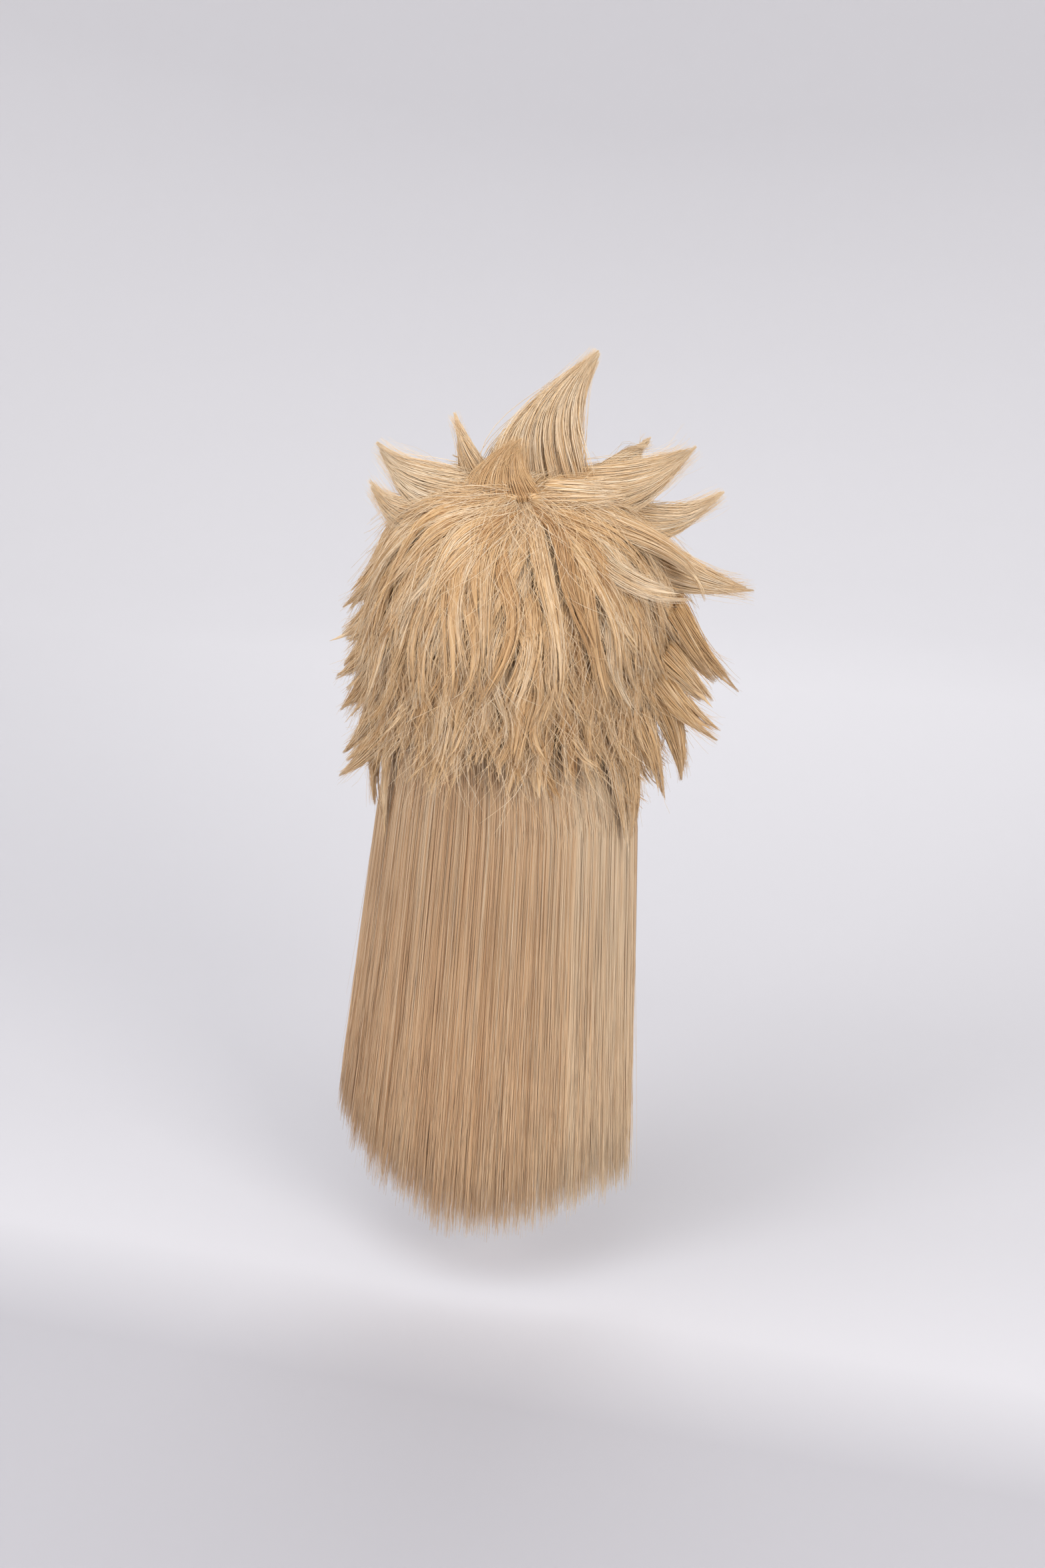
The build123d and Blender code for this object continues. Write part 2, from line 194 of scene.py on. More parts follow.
class Bundle:
    """Closed tapering tubes that become one mesh: fibres of 3 sides and lock cores of 8."""

    def __init__(self):
        self.parts = []

    def tubes(self, points, across, out, tone, along, sides):
        """Adds one tube for each row of points; across and out are its half-sizes at each point.

        tone has one value for each tube, or one for each of its sides.
        """
        angle = np.arange(sides) * (2 * np.pi / sides)
        ring = (
            points[:, :, None, :]
            + np.cos(angle)[:, None] * across[:, :, None, :]
            + np.sin(angle)[:, None] * out[:, :, None, :]
        )
        ring = ring / np.minimum(np.linalg.norm(ring / SEWN, axis=-1, keepdims=True), 1.0)
        self.parts.append((ring, tone, along))

    def fibres(self, points, radius, tone, along, rng):
        """Adds thin round fibres along rows of points."""
        tangent = unit(np.gradient(points, axis=1))
        chord = unit(points[:, -1] - points[:, 0])
        helper = unit(np.cross(chord, rng.normal(size=chord.shape)))[:, None, :]
        across = unit(np.cross(tangent, helper))
        out = np.cross(tangent, across)
        size = radius[:, :, None]
        self.tubes(points, across * size, out * size, tone, along, FIBRE_SIDES)

    def piece(self, name, finish, slot):
        """The mesh object that holds every tube."""
        vertices, faces, tones, alongs, maps = [], [], [], [], []
        offset = 0
        for ring, tone, along in self.parts:
            rows, steps, sides, _ = ring.shape
            vertices.append(ring.reshape(-1, 3))
            if tone.ndim == 1:
                tone = tone[:, None]
            tone_at = np.broadcast_to(tone[:, None, :], (rows, steps, sides)).reshape(-1)
            along_at = np.repeat(along.reshape(-1), sides)
            tones.append(tone_at)
            alongs.append(along_at)
            number = offset + np.arange(rows * steps * sides).reshape(rows, steps, sides)
            beside = np.roll(number, -1, axis=2)
            quads = [number[:, :-1], beside[:, :-1], beside[:, 1:], number[:, 1:]]
            faces.append(np.stack(quads, axis=-1).reshape(-1, 4))
            faces.append(number[:, 0, ::-1])
            faces.append(number[:, -1])
            # Each fibre keeps its own narrow column of the map, so that a face has some width there.
            column = tone_at.reshape(rows, steps, sides) + np.linspace(-MAP_COLUMN, MAP_COLUMN, sides)
            maps.append(np.stack([column.reshape(-1), along_at], axis=-1))
            offset += rows * steps * sides
        corners = np.concatenate([group.reshape(-1) for group in faces])
        sizes = np.concatenate([np.full(len(group), group.shape[1]) for group in faces])
        mesh = bpy.data.meshes.new(name)
        mesh.vertices.add(offset)
        mesh.vertices.foreach_set("co", (np.concatenate(vertices) * MM).astype(np.float32).reshape(-1))
        mesh.loops.add(len(corners))
        mesh.loops.foreach_set("vertex_index", corners.astype(np.int32))
        mesh.polygons.add(len(sizes))
        starts = np.concatenate([[0], np.cumsum(sizes)[:-1]])
        mesh.polygons.foreach_set("loop_start", starts.astype(np.int32))
        for attribute, values in (("tone", tones), ("along", alongs)):
            layer = mesh.attributes.new(attribute, "FLOAT", "POINT")
            layer.data.foreach_set("value", np.concatenate(values).astype(np.float32))
        layer = mesh.uv_layers.new(name="OFBake")
        flat = np.clip(np.concatenate(maps)[corners], 0.002, 0.998)
        layer.uv.foreach_set("vector", flat.astype(np.float32).reshape(-1))
        mesh.update(calc_edges=True)
        mesh.materials.append(finish)
        made = bpy.data.objects.new(name, mesh)
        bpy.context.scene.collection.objects.link(made)
        return made


def add_lock(
    bundle, rng, line, outward, half_width, half_thick, fibres, tone,
    power=1.5, sharp=1.0, rise=1.0, split=0.3, comb=0.7, ragged=0.22, fluff=0.06, core=0.74, fine=1.0,
):  # fmt: skip
    """Adds one lock: a tapering core and the fibres that lie round it and close to soft points.

    power and sharp shape the taper, rise is the share of the width that the root already has, split is how
    far its few smaller tips stand apart, comb is how firmly each fibre keeps to its own small tip, ragged is
    how much their lengths differ, fluff is the share of thin fibres that fly off, core is the core's share
    of the width, and fine scales the fibres' own width and their changes of tone.
    """
    tangent = unit(np.gradient(line, axis=0))
    side = unit(np.cross(tangent, outward))
    outward = np.cross(side, tangent)
    t = np.linspace(0.0, 1.0, len(line))

    def width_at(place, sharpness=power):
        root = rise + (1.0 - rise) * smooth(place / 0.4)
        return root * (1.0 - np.clip(place, 0, 1) ** sharpness) ** sharp

    taper = width_at(t, power * 0.8)[:, None] * core
    weave = WEAVE * half_width**0.4 * rng.uniform(0.3, 0.6, CORE_SIDES)
    # painted shade: the core is a shade darker than its fibres (tone less 0.02), where it shows between them
    bundle.tubes(
        along_line(line, t * CORE_END)[None],
        (side * taper * half_width)[None],
        (outward * taper * half_thick * 0.7)[None],
        np.clip(tone - 0.02 + weave, 0.03, 0.97)[None],
        (t * CORE_END)[None],
        CORE_SIDES,
    )

    angle = rng.uniform(0.0, 2 * np.pi, fibres)
    reach = rng.uniform(0.2, 1.0, fibres) ** 0.45 + rng.exponential(0.06, fibres)
    across = np.cos(angle) * reach
    up = np.sin(angle) * reach
    groups = rng.integers(3, 7)
    middles = np.sort(rng.uniform(-0.9, 0.9, groups))
    nearest = np.argmin(np.abs(across[:, None] - middles[None]), axis=1)
    ends = (1.0 - rng.uniform(0.0, ragged, groups))[nearest]
    ends *= 1.0 - rng.uniform(0.0, 1.0, fibres) ** 2 * (ragged + 0.06)
    own = t[None, :]
    place = np.minimum(own * ends[:, None], 1.0)
    width = width_at(place, power * rng.uniform(0.8, 1.25, (fibres, 1)))
    pull = smooth(place * 1.1) * comb
    centre = middles[nearest][:, None]
    lean = (rng.normal(0.0, 1.0, groups) * split)[nearest][:, None]
    sideways = (across[:, None] * (1 - pull) + centre * pull) * width
    sideways = sideways + (centre * split + lean * 0.6) * place**3
    lift = rng.normal(0.0, split, groups)[nearest][:, None]
    outwards = up[:, None] * (1 - pull * 0.6) * width + lift * place**2
    kind = rng.uniform(size=(fibres, 1))
    stray = (kind > fluff) & (kind < fluff + 0.14)
    loose = kind <= fluff
    wave = np.sin(2 * np.pi * (own * rng.uniform(0.4, 1.4, (fibres, 1)) + rng.uniform(size=(fibres, 1))))
    drift = np.where(loose, 4.0, np.where(stray, 1.5, 0.6)) * rng.uniform(0.3, 1.2, (fibres, 1))
    wander = np.where(loose, 5.0, np.where(stray, 4.0, 0.0)) * rng.normal(0.0, 1.0, (fibres, 1))
    sideways = sideways * half_width + wave * drift * own**1.3 + wander * own**1.5
    rising = np.where(loose, 6.0, np.where(stray, 2.0, 0.4)) * rng.uniform(-0.4, 1.0, (fibres, 1))
    outwards = outwards * half_thick + rising * own**2
    points = (
        along_line(line, place)
        + along_line(side, place) * sideways[:, :, None]
        + along_line(outward, place) * outwards[:, :, None]
    )
    radius = np.where(stray, STRAY_RADIUS, rng.uniform(*FIBRE_RADIUS, (fibres, 1)))
    radius = np.where(loose, LOOSE_RADIUS, radius)
    tones = np.clip(tone + fine * rng.normal(0.0, 0.09, fibres), 0.02, 0.98)
    bundle.fibres(points, fine * radius * (1.0 - 0.75 * own**3), tones, place, rng)


# ---- the head form that the short layers lie on ----

ROOT_FORM = CAP + 5.0
WHORL = np.array([-14.0, 44.0, 95.0])
FALL_STEP = 3.0  # between the points of a fall line
FALL_TURN = 130.0  # how far from the whorl a line has turned to fall


def onto(points, form):
    """Points moved to a form that is a dome above the brow and a barrel below it."""
    scaled = points / form
    above = scaled[..., 2] > 0
    flat = np.linalg.norm(scaled[..., :2], axis=-1)
    whole = np.linalg.norm(scaled, axis=-1)
    moved = points.copy()
    moved[..., :2] /= np.where(above, whole, flat)[..., None]
    moved[..., 2] = np.where(above, points[..., 2] / whole, points[..., 2])
    return moved


def outward_from(points, form):
    """The direction straight out of the form at each point."""
    slope = points / form**2
    slope[..., 2] = np.maximum(slope[..., 2], 0.0)
    return unit(slope)


def falls(bearings, sway, weight, steps=100):
    """Lines that leave the whorl at these bearings, run over the head form and fall, one row each.

    sway has each line's strength, length and start of its turns to and fro, and weight how much it falls.
    """
    whorl = onto(WHORL[None], ROOT_FORM)[0]
    normal = outward_from(whorl[None], ROOT_FORM)[0]
    right = unit(np.cross(DOWN, normal))
    below = np.cross(normal, right)
    heading = np.cos(bearings)[:, None] * below + np.sin(bearings)[:, None] * right
    here = onto(whorl + heading * FALL_STEP, ROOT_FORM)
    rows = [here]
    for number in range(1, steps):
        normal = outward_from(here, ROOT_FORM)
        away = here - whorl
        away = unit(away - normal * np.sum(away * normal, axis=1, keepdims=True))
        down = DOWN - normal * np.sum(DOWN * normal, axis=1, keepdims=True)
        run = number * FALL_STEP
        share = weight[:, None] * smooth(run / FALL_TURN)
        heading = unit(away * (1 - share) + down * share)
        turn = sway[:, 0] * np.sin(run / sway[:, 1] + sway[:, 2])
        heading = heading + np.cross(normal, heading) * turn[:, None]
        here = onto(here + unit(heading) * FALL_STEP, ROOT_FORM)
        rows.append(here)
    return np.stack(rows, axis=1)


# ---- settings ----


def colour_property(name, description, code):
    """A colour that a user can change, from an sRGB hex value."""
    return FloatVectorProperty(
        name=name, description=description, default=linear(code), subtype="COLOR", size=4, min=0.0, max=1.0
    )


def measure(name, description, default, unit="LENGTH"):
    """A length in metres or an angle in radians that a user can change."""
    return FloatProperty(name=name, description=description, default=default, unit=unit)


def amount(name, description, default):
    """A number of fibres that a user can change."""
    return IntProperty(name=name, description=description, default=default, min=10)


class StudioSettings(bpy.types.PropertyGroup):
    """The studio's floor, backdrop, lights and camera."""

    floor_height: measure("Floor height", "Height of the studio floor", -0.47)
    sweep_radius: measure("Sweep radius", "Radius of the round backdrop", 3.4)
    paper: colour_property("Paper", "Colour of the backdrop paper", "#DFDEE1")
    # painted shade on the paper's floor: darker under the wig and in front, with a painted lighter band at
    # the edge
    painted_floor_shade: colour_property("Paper under the wig", "Colour of the paper's floor", "#CBCACE")
    painted_light_band: colour_property("Paper's edge", "Colour between the paper's floor and its front", "#D0CFD3")
    painted_front_shade: colour_property("Paper in front", "Colour of the paper's front end", "#B6B5BA")
    lens: FloatProperty(name="Lens", description="Focal length in millimetres", default=50.0)
    distance: measure("Distance", "From the camera to the point it looks at", 1.555)
    azimuth: measure("Azimuth", "Camera's bearing round the wig", np.radians(197), "ROTATION")
    elevation: measure("Elevation", "Camera's angle above the horizon", np.radians(18), "ROTATION")


class HairSettings(bpy.types.PropertyGroup):
    """Amount, colour and variety of the hair."""

    seed: IntProperty(name="Seed", description="Starts every random choice", default=7)
    lock_fibres: amount("Fibres in a lock", "Fibres drawn in each short lock", 62)
    spike_fibres: amount("Fibres in a spike", "Fibres drawn in the widest spike", 1250)
    row_fibres: amount("Fibres in a long row", "Fibres drawn in each long row", 4200)
    flyaways: amount("Flyaway fibres", "Single loose fibres over the short layers", 4200)
    shadow: colour_property("Shadow", "Darkest short fibres", "#C39561")
    middle: colour_property("Middle", "Most short fibres", "#E6C18E")
    light: colour_property("Light", "Palest short fibres", "#FAE9CE")
    long_shadow: colour_property("Long shadow", "Darkest long fibres", "#CAA078")
    long_middle: colour_property("Long middle", "Most long fibres", "#EDCCA5")
    long_light: colour_property("Long light", "Palest long fibres", "#FFEDD2")


def fibre_finish(long_hair=False):
    """The short or the long fibre's material, made once."""
    name = "modacrylic_long_fibre" if long_hair else "modacrylic_short_fibre"
    found = bpy.data.materials.get(name)
    if found:
        return found
    hair = bpy.context.scene.wig_hair
    if long_hair:
        shades = (hair.long_shadow, hair.long_middle, hair.long_light)
        # painted shade under the short layers, darkest a third of the way down, and painted light towards
        # the ends
        painted_light_and_shade = [
            (0.0, linear("#E2DACF")),
            (0.3, linear("#D8CEC2")),
            (0.7, linear("#EADFD1")),
            (0.95, linear("#FFF9EE")),
        ]
    else:
        shades = (hair.shadow, hair.middle, hair.light)
        # painted shade near the roots, under the layers over them
        painted_light_and_shade = [(0.0, linear("#F7EEE0")), (0.3, linear("#FFFFFF"))]
    stops = [(place, tuple(shade)) for place, shade in zip((0.08, 0.5, 0.92), shades)]
    return hair_fibre(name, stops, painted_light_and_shade)


def random_for(name):
    """A random source that depends only on the seed and this name."""
    return np.random.default_rng([bpy.context.scene.wig_hair.seed, *name.encode()])


# ---- studio ----


AIM = (0.0, 0.0, -0.110)  # the middle of the wig, which the camera looks at
FLAT_FLOOR = 2.0  # the radius of the paper that lies flat
WALL_HEIGHT = 3.6
AROUND = 96  # the sweep's corners in a ring


def area_light(name, place, aim, size, power, colour):
    """One soft box that faces the wig."""
    data = bpy.data.lights.new(name, "AREA")
    data.shape = "RECTANGLE"
    data.size, data.size_y = size
    data.energy = power
    data.color = linear(colour)[:3]
    lamp = bpy.data.objects.new(name, data)
    lamp.location = place
    lamp.rotation_euler = (Vector(aim) - Vector(place)).to_track_quat("-Z", "Y").to_euler()
    lamp.visible_camera = False
    bpy.context.scene.collection.objects.link(lamp)


class WIG_OT_studio(bpy.types.Operator):
    """Make the camera, the paper sweep and the soft lights"""

    bl_idname = "wig.studio"
    bl_label = "Studio"

    def execute(self, context):
        studio = context.scene.wig_studio
        context.scene.view_settings.view_transform = "Standard"
        self.camera(context, studio)
        self.sweep(context, studio)
        self.lights(context)
        return {"FINISHED"}

    def camera(self, context, studio):
        """A long-side 36 mm camera that looks down at the back of the wig from one side."""
        level = np.cos(studio.elevation)
        east = np.sin(studio.azimuth) * level
        back = Vector((east, -np.cos(studio.azimuth) * level, np.sin(studio.elevation)))
        data = bpy.data.cameras.new("studio_camera")
        data.lens = studio.lens
        data.sensor_width = 36.0
        camera = bpy.data.objects.new("studio_camera", data)
        camera.location = Vector(AIM) + back * studio.distance
        camera.rotation_euler = (-back).to_track_quat("-Z", "Y").to_euler()
        context.scene.collection.objects.link(camera)
        context.scene.camera = camera

    def sweep(self, context, studio):
        """A round sweep of seamless paper, floor and wall in one."""
        floor, radius = studio.floor_height, studio.sweep_radius
        profile = [(distance, floor) for distance in (0.0, 0.6, 1.2, 1.6, FLAT_FLOOR)]
        bend = radius - FLAT_FLOOR
        for angle in np.radians(np.arange(10, 91, 10)):
            profile.append((FLAT_FLOOR + bend * np.sin(angle), floor + bend * (1 - np.cos(angle))))
        profile.append((radius, floor + WALL_HEIGHT))
        vertices = [(0.0, 0.0, floor)]
        for distance, height in profile[1:]:
            for angle in np.linspace(0, 2 * np.pi, AROUND, endpoint=False):
                vertices.append((distance * np.cos(angle), distance * np.sin(angle), height))
        faces = [(0, 1 + i, 1 + (i + 1) % AROUND) for i in range(AROUND)]
        for ring in range(len(profile) - 2):
            start = 1 + ring * AROUND
            for i in range(AROUND):
                j = (i + 1) % AROUND
                faces.append((start + i, start + AROUND + i, start + AROUND + j, start + j))
        mesh = bpy.data.meshes.new("paper_sweep")
        mesh.from_pydata(vertices, [], faces, shade_flat=False)
        made = bpy.data.objects.new("paper_sweep", mesh)
        context.scene.collection.objects.link(made)
        mesh.materials.append(self.paper(studio))

    def paper(self, studio):
        """Uncoated seamless paper: dead matt, with a faint pulp grain, and painted shade on its floor."""

        def build(tree):
            place = add(tree, "ShaderNodeTexCoord").outputs["Object"]
            split = add(tree, "ShaderNodeSeparateXYZ", {0: place}).outputs
            # painted shade on the floor: darker under the wig and darkest in front, with a painted lighter
            # band between, giving way to the wall's plain colour as the sweep rises
            span = add(tree, "ShaderNodeMapRange", {0: split["Y"], 1: -1.6, 2: 1.6})
            stops = [
                (0.0, tuple(studio.paper)),
                (0.36, tuple(studio.painted_floor_shade)),
                (0.47, tuple(studio.painted_floor_shade)),
                (0.53, tuple(studio.painted_light_band)),
                (0.57, tuple(studio.painted_front_shade)),
                (0.75, tuple(studio.painted_front_shade)),
                (1.0, tuple(studio.paper)),
            ]
            floor = add(tree, "ShaderNodeValToRGB", {0: span.outputs[0]}, stops=stops)
            rise = {0: split["Z"], 1: studio.floor_height + 0.02, 2: studio.floor_height + 0.5}
            rising = add(tree, "ShaderNodeMapRange", rise, interpolation_type="SMOOTHSTEP")
            both = {0: rising.outputs[0], "A": floor.outputs[0], "B": tuple(studio.paper)}
            shade = add(tree, "ShaderNodeMix", both, data_type="RGBA")
            grain = add(tree, "ShaderNodeTexNoise", {"Vector": place, "Scale": 900.0, "Detail": 3.0})
            relief = {"Height": grain.outputs[0], "Strength": 0.05, "Distance": 0.0002}
            bump = add(tree, "ShaderNodeBump", relief)
            surface = {
                "Base Color": shade.outputs["Result"],
                "Roughness": 0.95,
                "Specular IOR Level": 0.15,
                "Normal": bump.outputs[0],
            }
            return add(tree, "ShaderNodeBsdfPrincipled", surface)

        return material("seamless_paper", build)

    def lights(self, context):
        """Large soft boxes: a key on the left, a fill on the right, a top light and one for the front."""
        area_light("key_box", (-1.7, 1.6, 0.75), (0, 0, -0.1), (1.0, 1.0), 29.0, "#FFFBF6")
        area_light("fill_box", (1.3, 1.9, 0.75), (0, 0, -0.1), (1.1, 1.1), 19.0, "#FFFEFF")
        area_light("front_box", (0.3, -1.8, 1.7), (0, 0, -0.1), (1.6, 1.6), 18.0, "#FFFFFF")
        area_light("top_box", (0.1, 0.8, 2.1), (0, 0, 0), (1.8, 1.8), 19.0, "#FFFFFF")
        world = bpy.data.worlds.new("studio_world")
        world.use_nodes = True
        background = world.node_tree.nodes["Background"].inputs
        background["Color"].default_value = linear("#F4F4F5")
        background["Strength"].default_value = 0.78
        context.scene.world = world


# ---- short layers ----

# Each layer: distance of its roots from the whorl, its lengths, how far it stands off the cap, its flick,
# the half-width of its locks, how many there are round the head and their middle tone. The under layers, the
# first five, have darker middle tones than the three over them, a painted shade under the upper layers.
LAYERS = [
    ((150, 172), (50, 75), 10, (8, 20), 9, 70, 0.42),
    ((112, 138), (60, 95), 15, (10, 26), 9, 100, 0.46),
    ((80, 110), (60, 90), 13, (4, 12), 12, 78, 0.44),
    ((34, 62), (70, 100), 15, (2, 8), 12, 72, 0.44),
    ((1, 6), (60, 90), 12, (0, 2), 9, 44, 0.42),
    ((76, 102), (70, 105), 18, (10, 24), 9.5, 96, 0.5),
    ((38, 62), (80, 120), 21, (8, 18), 9.5, 84, 0.53),
    ((0, 19), (85, 145), 22, (4, 12), 9.5, 80, 0.55),
]
LOCK_POINTS = 10
SHORTEST_LOCK = 38.0
SIDE_HEM = (-104, -78)  # heights where the layers end at the sides and at the back
BACK_HEM = (-88, -58)
FLYAWAY_STEPS = 80
LAYER_PIECES = {  # each plain solid of the layers and the pieces that stand for it
    "crown_hair": (
        "brow_crown_layer", "left_top_layer", "right_top_layer",
        "left_crown_layer", "back_crown_layer", "right_crown_layer",
    ),
    "left_hair": ("left_layer", "left_temple_layer"),
    "right_hair": ("right_layer", "right_temple_layer"),
    "upper_back_hair": ("upper_back_left_layer", "upper_back_middle_layer", "upper_back_right_layer"),
    "lower_back_hair": ("lower_back_left_layer", "lower_back_middle_layer", "lower_back_right_layer"),
    "front_hair": ("front_layer",),
    "left_low_layer": ("left_low_locks",),
    "back_low_layer": ("back_low_locks",),
    "right_low_layer": ("right_low_locks",),
}  # fmt: skip
REGIONS = {name: node for node, names in LAYER_PIECES.items() for name in names}


def region_of(point):
    """The piece of the short layers that a lock with this middle, in millimetres, belongs to."""
    x, y, z = point
    side = "left" if x > -10 else "right"
    if z > 70:
        if y < -26:
            return "brow_crown_layer"
        if y < 20:
            return f"{side}_top_layer"
        return f"{side}_crown_layer" if abs(x + 10) > 26 else "back_crown_layer"
    if y < -62:
        return "front_layer"
    if z < -48 and y > -15:
        return "back_low_locks" if abs(x) < 38 else f"{side}_low_locks"
    if y < 18:
        return f"{side}_layer" if y > -26 else f"{side}_temple_layer"
    part = "middle" if abs(x + 5) < 46 else side
    return f"upper_back_{part}_layer" if z > 8 else f"lower_back_{part}_layer"


class WIG_OT_short_layers(bpy.types.Operator):
    """Lay the short layers over the cap from the nape up to the whorl"""

    bl_idname = "wig.short_layers"
    bl_label = "Short layers"

    def execute(self, context):
        rng = random_for("short_layers")
        fibres = context.scene.wig_hair.lock_fibres
        bundles = {name: Bundle() for name in REGIONS}
        for starts, lengths, height, flicks, half_width, count, middle in LAYERS:
            bearings = (np.arange(count) + rng.uniform(-0.4, 0.4, count)) * (2 * np.pi / count)
            sway = rng.uniform((0.1, 14, 0), (0.45, 30, 2 * np.pi), (count, 3))
            lines = falls(bearings, sway, rng.uniform(0.5, 0.9, count))
            for row, bearing in zip(lines, bearings):
                start = rng.uniform(*starts)
                length = rng.uniform(*lengths)
                if start < 30 and np.cos(bearing) < -0.25:
                    length *= 0.6  # the spikes stand here
                flick = rng.uniform(*flicks)
                width = half_width * rng.uniform(0.6, 1.35)
                tone = np.clip(rng.normal(middle, 0.14), 0.15, 0.78)
                drawn = int(fibres * (1.4 if height > 16 else 0.6))
                self.lay(bundles, rng, row, start, length, height, flick, width, drawn, tone)
        for name, bundle in bundles.items():
            if not bundle.parts:
                raise RuntimeError(f"no lock fell in {name}")
            piece = bundle.piece(name, fibre_finish(), "short_fibre")
            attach(piece, "cap")
            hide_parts(REGIONS[name])
        loose = Bundle()
        self.flyaways(loose, rng, context.scene.wig_hair.flyaways)
        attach(loose.piece("flyaway_fibres", fibre_finish(), "short_fibre"), "cap")
        return {"FINISHED"}

    def flyaways(self, bundle, rng, count):
        """Adds single thin fibres that cross the locks and stand off their tips."""
        rows = falls(
            rng.uniform(0, 2 * np.pi, count),
            rng.uniform((0.1, 12, 0), (0.9, 30, 2 * np.pi), (count, 3)),
            rng.uniform(0.3, 0.95, count),
            FLYAWAY_STEPS,
        )
        reach = np.interp(rows[:, -1, 2], (-200, -60), (120, 190))
        start = rng.uniform(5, reach)
        length = rng.uniform(30, 75, count)
        t = np.linspace(0.0, 1.0, 8)
        arc = np.arange(FLYAWAY_STEPS) * FALL_STEP
        places = start[:, None] + length[:, None] * t
        line = np.stack(
            [
                np.stack([np.interp(place, arc, row[:, axis]) for place, row in zip(places, rows)])
                for axis in range(3)
            ],
            axis=2,
        )
        over_face = (line[..., 1] < -50) & (line[..., 2] < 25)
        line = line[~np.any(over_face, axis=1)]
        count = len(line)
        normal = outward_from(line, ROOT_FORM)
        side = unit(np.cross(unit(np.gradient(line, axis=1)), normal))
        flat = 1.0 - 0.5 * smooth((normal[..., 2] - 0.55) / 0.4)
        lift = rng.uniform(15, 27, (count, 1)) + rng.uniform(-3, 16, (count, 1)) * t**2
        drift = rng.normal(0, 9, (count, 1)) * t**1.4 + rng.normal(0, 3, (count, 1)) * np.sin(t * 4)
        points = line + normal * (lift * flat)[..., None] + side * drift[..., None]
        points[..., 2] = np.maximum(points[..., 2], -118 + 20 * rng.uniform(size=(count, 1)))
        radius = rng.uniform(0.13, 0.19, (count, 1)) * (1.0 - 0.5 * t**2)
        tone = np.clip(rng.normal(0.6, 0.12, count), 0.1, 0.95)
        bundle.fibres(points, radius, tone, np.broadcast_to(0.3 + 0.7 * t, radius.shape), rng)

    def lay(self, bundles, rng, row, start, length, height, flick, width, fibres, tone):
        """Adds one lock that leaves the cap, lies over the ones under it and flicks out at its tip."""
        arc = np.arange(len(row)) * FALL_STEP
        hem = rng.uniform(*(SIDE_HEM if abs(row[-1, 0]) > 62 else BACK_HEM))
        below = np.nonzero(row[:, 2] < hem)[0]
        if len(below):
            length = min(length, arc[below[0]] - start)
        if length < SHORTEST_LOCK or start + length > arc[-1]:
            return
        places = start + np.linspace(0.0, length, LOCK_POINTS)
        line = np.stack([np.interp(places, arc, row[:, axis]) for axis in range(3)], axis=1)
        t = np.linspace(0.0, 1.0, LOCK_POINTS)
        normal = outward_from(line, ROOT_FORM)
        flat = 1.0 - 0.7 * smooth((normal[:, 2] - 0.55) / 0.4)
        root = 0.55 if start < 26 else 0.0
        lift = height * rng.uniform(0.8, 1.25) * (root + (1 - root) * smooth(t / 0.4)) * flat
        lift = lift + flick * np.clip((t - 0.5) / 0.5, 0, 1) ** 2
        line = line + normal * lift[:, None]
        line[:, 2] += flick * 0.25 * np.clip((t - 0.6) / 0.4, 0, 1) ** 2
        bundle = bundles[region_of(line[LOCK_POINTS // 2])]
        add_lock(bundle, rng, line, normal, width, width * 0.42, fibres, tone, rise=0.6, split=0.4)
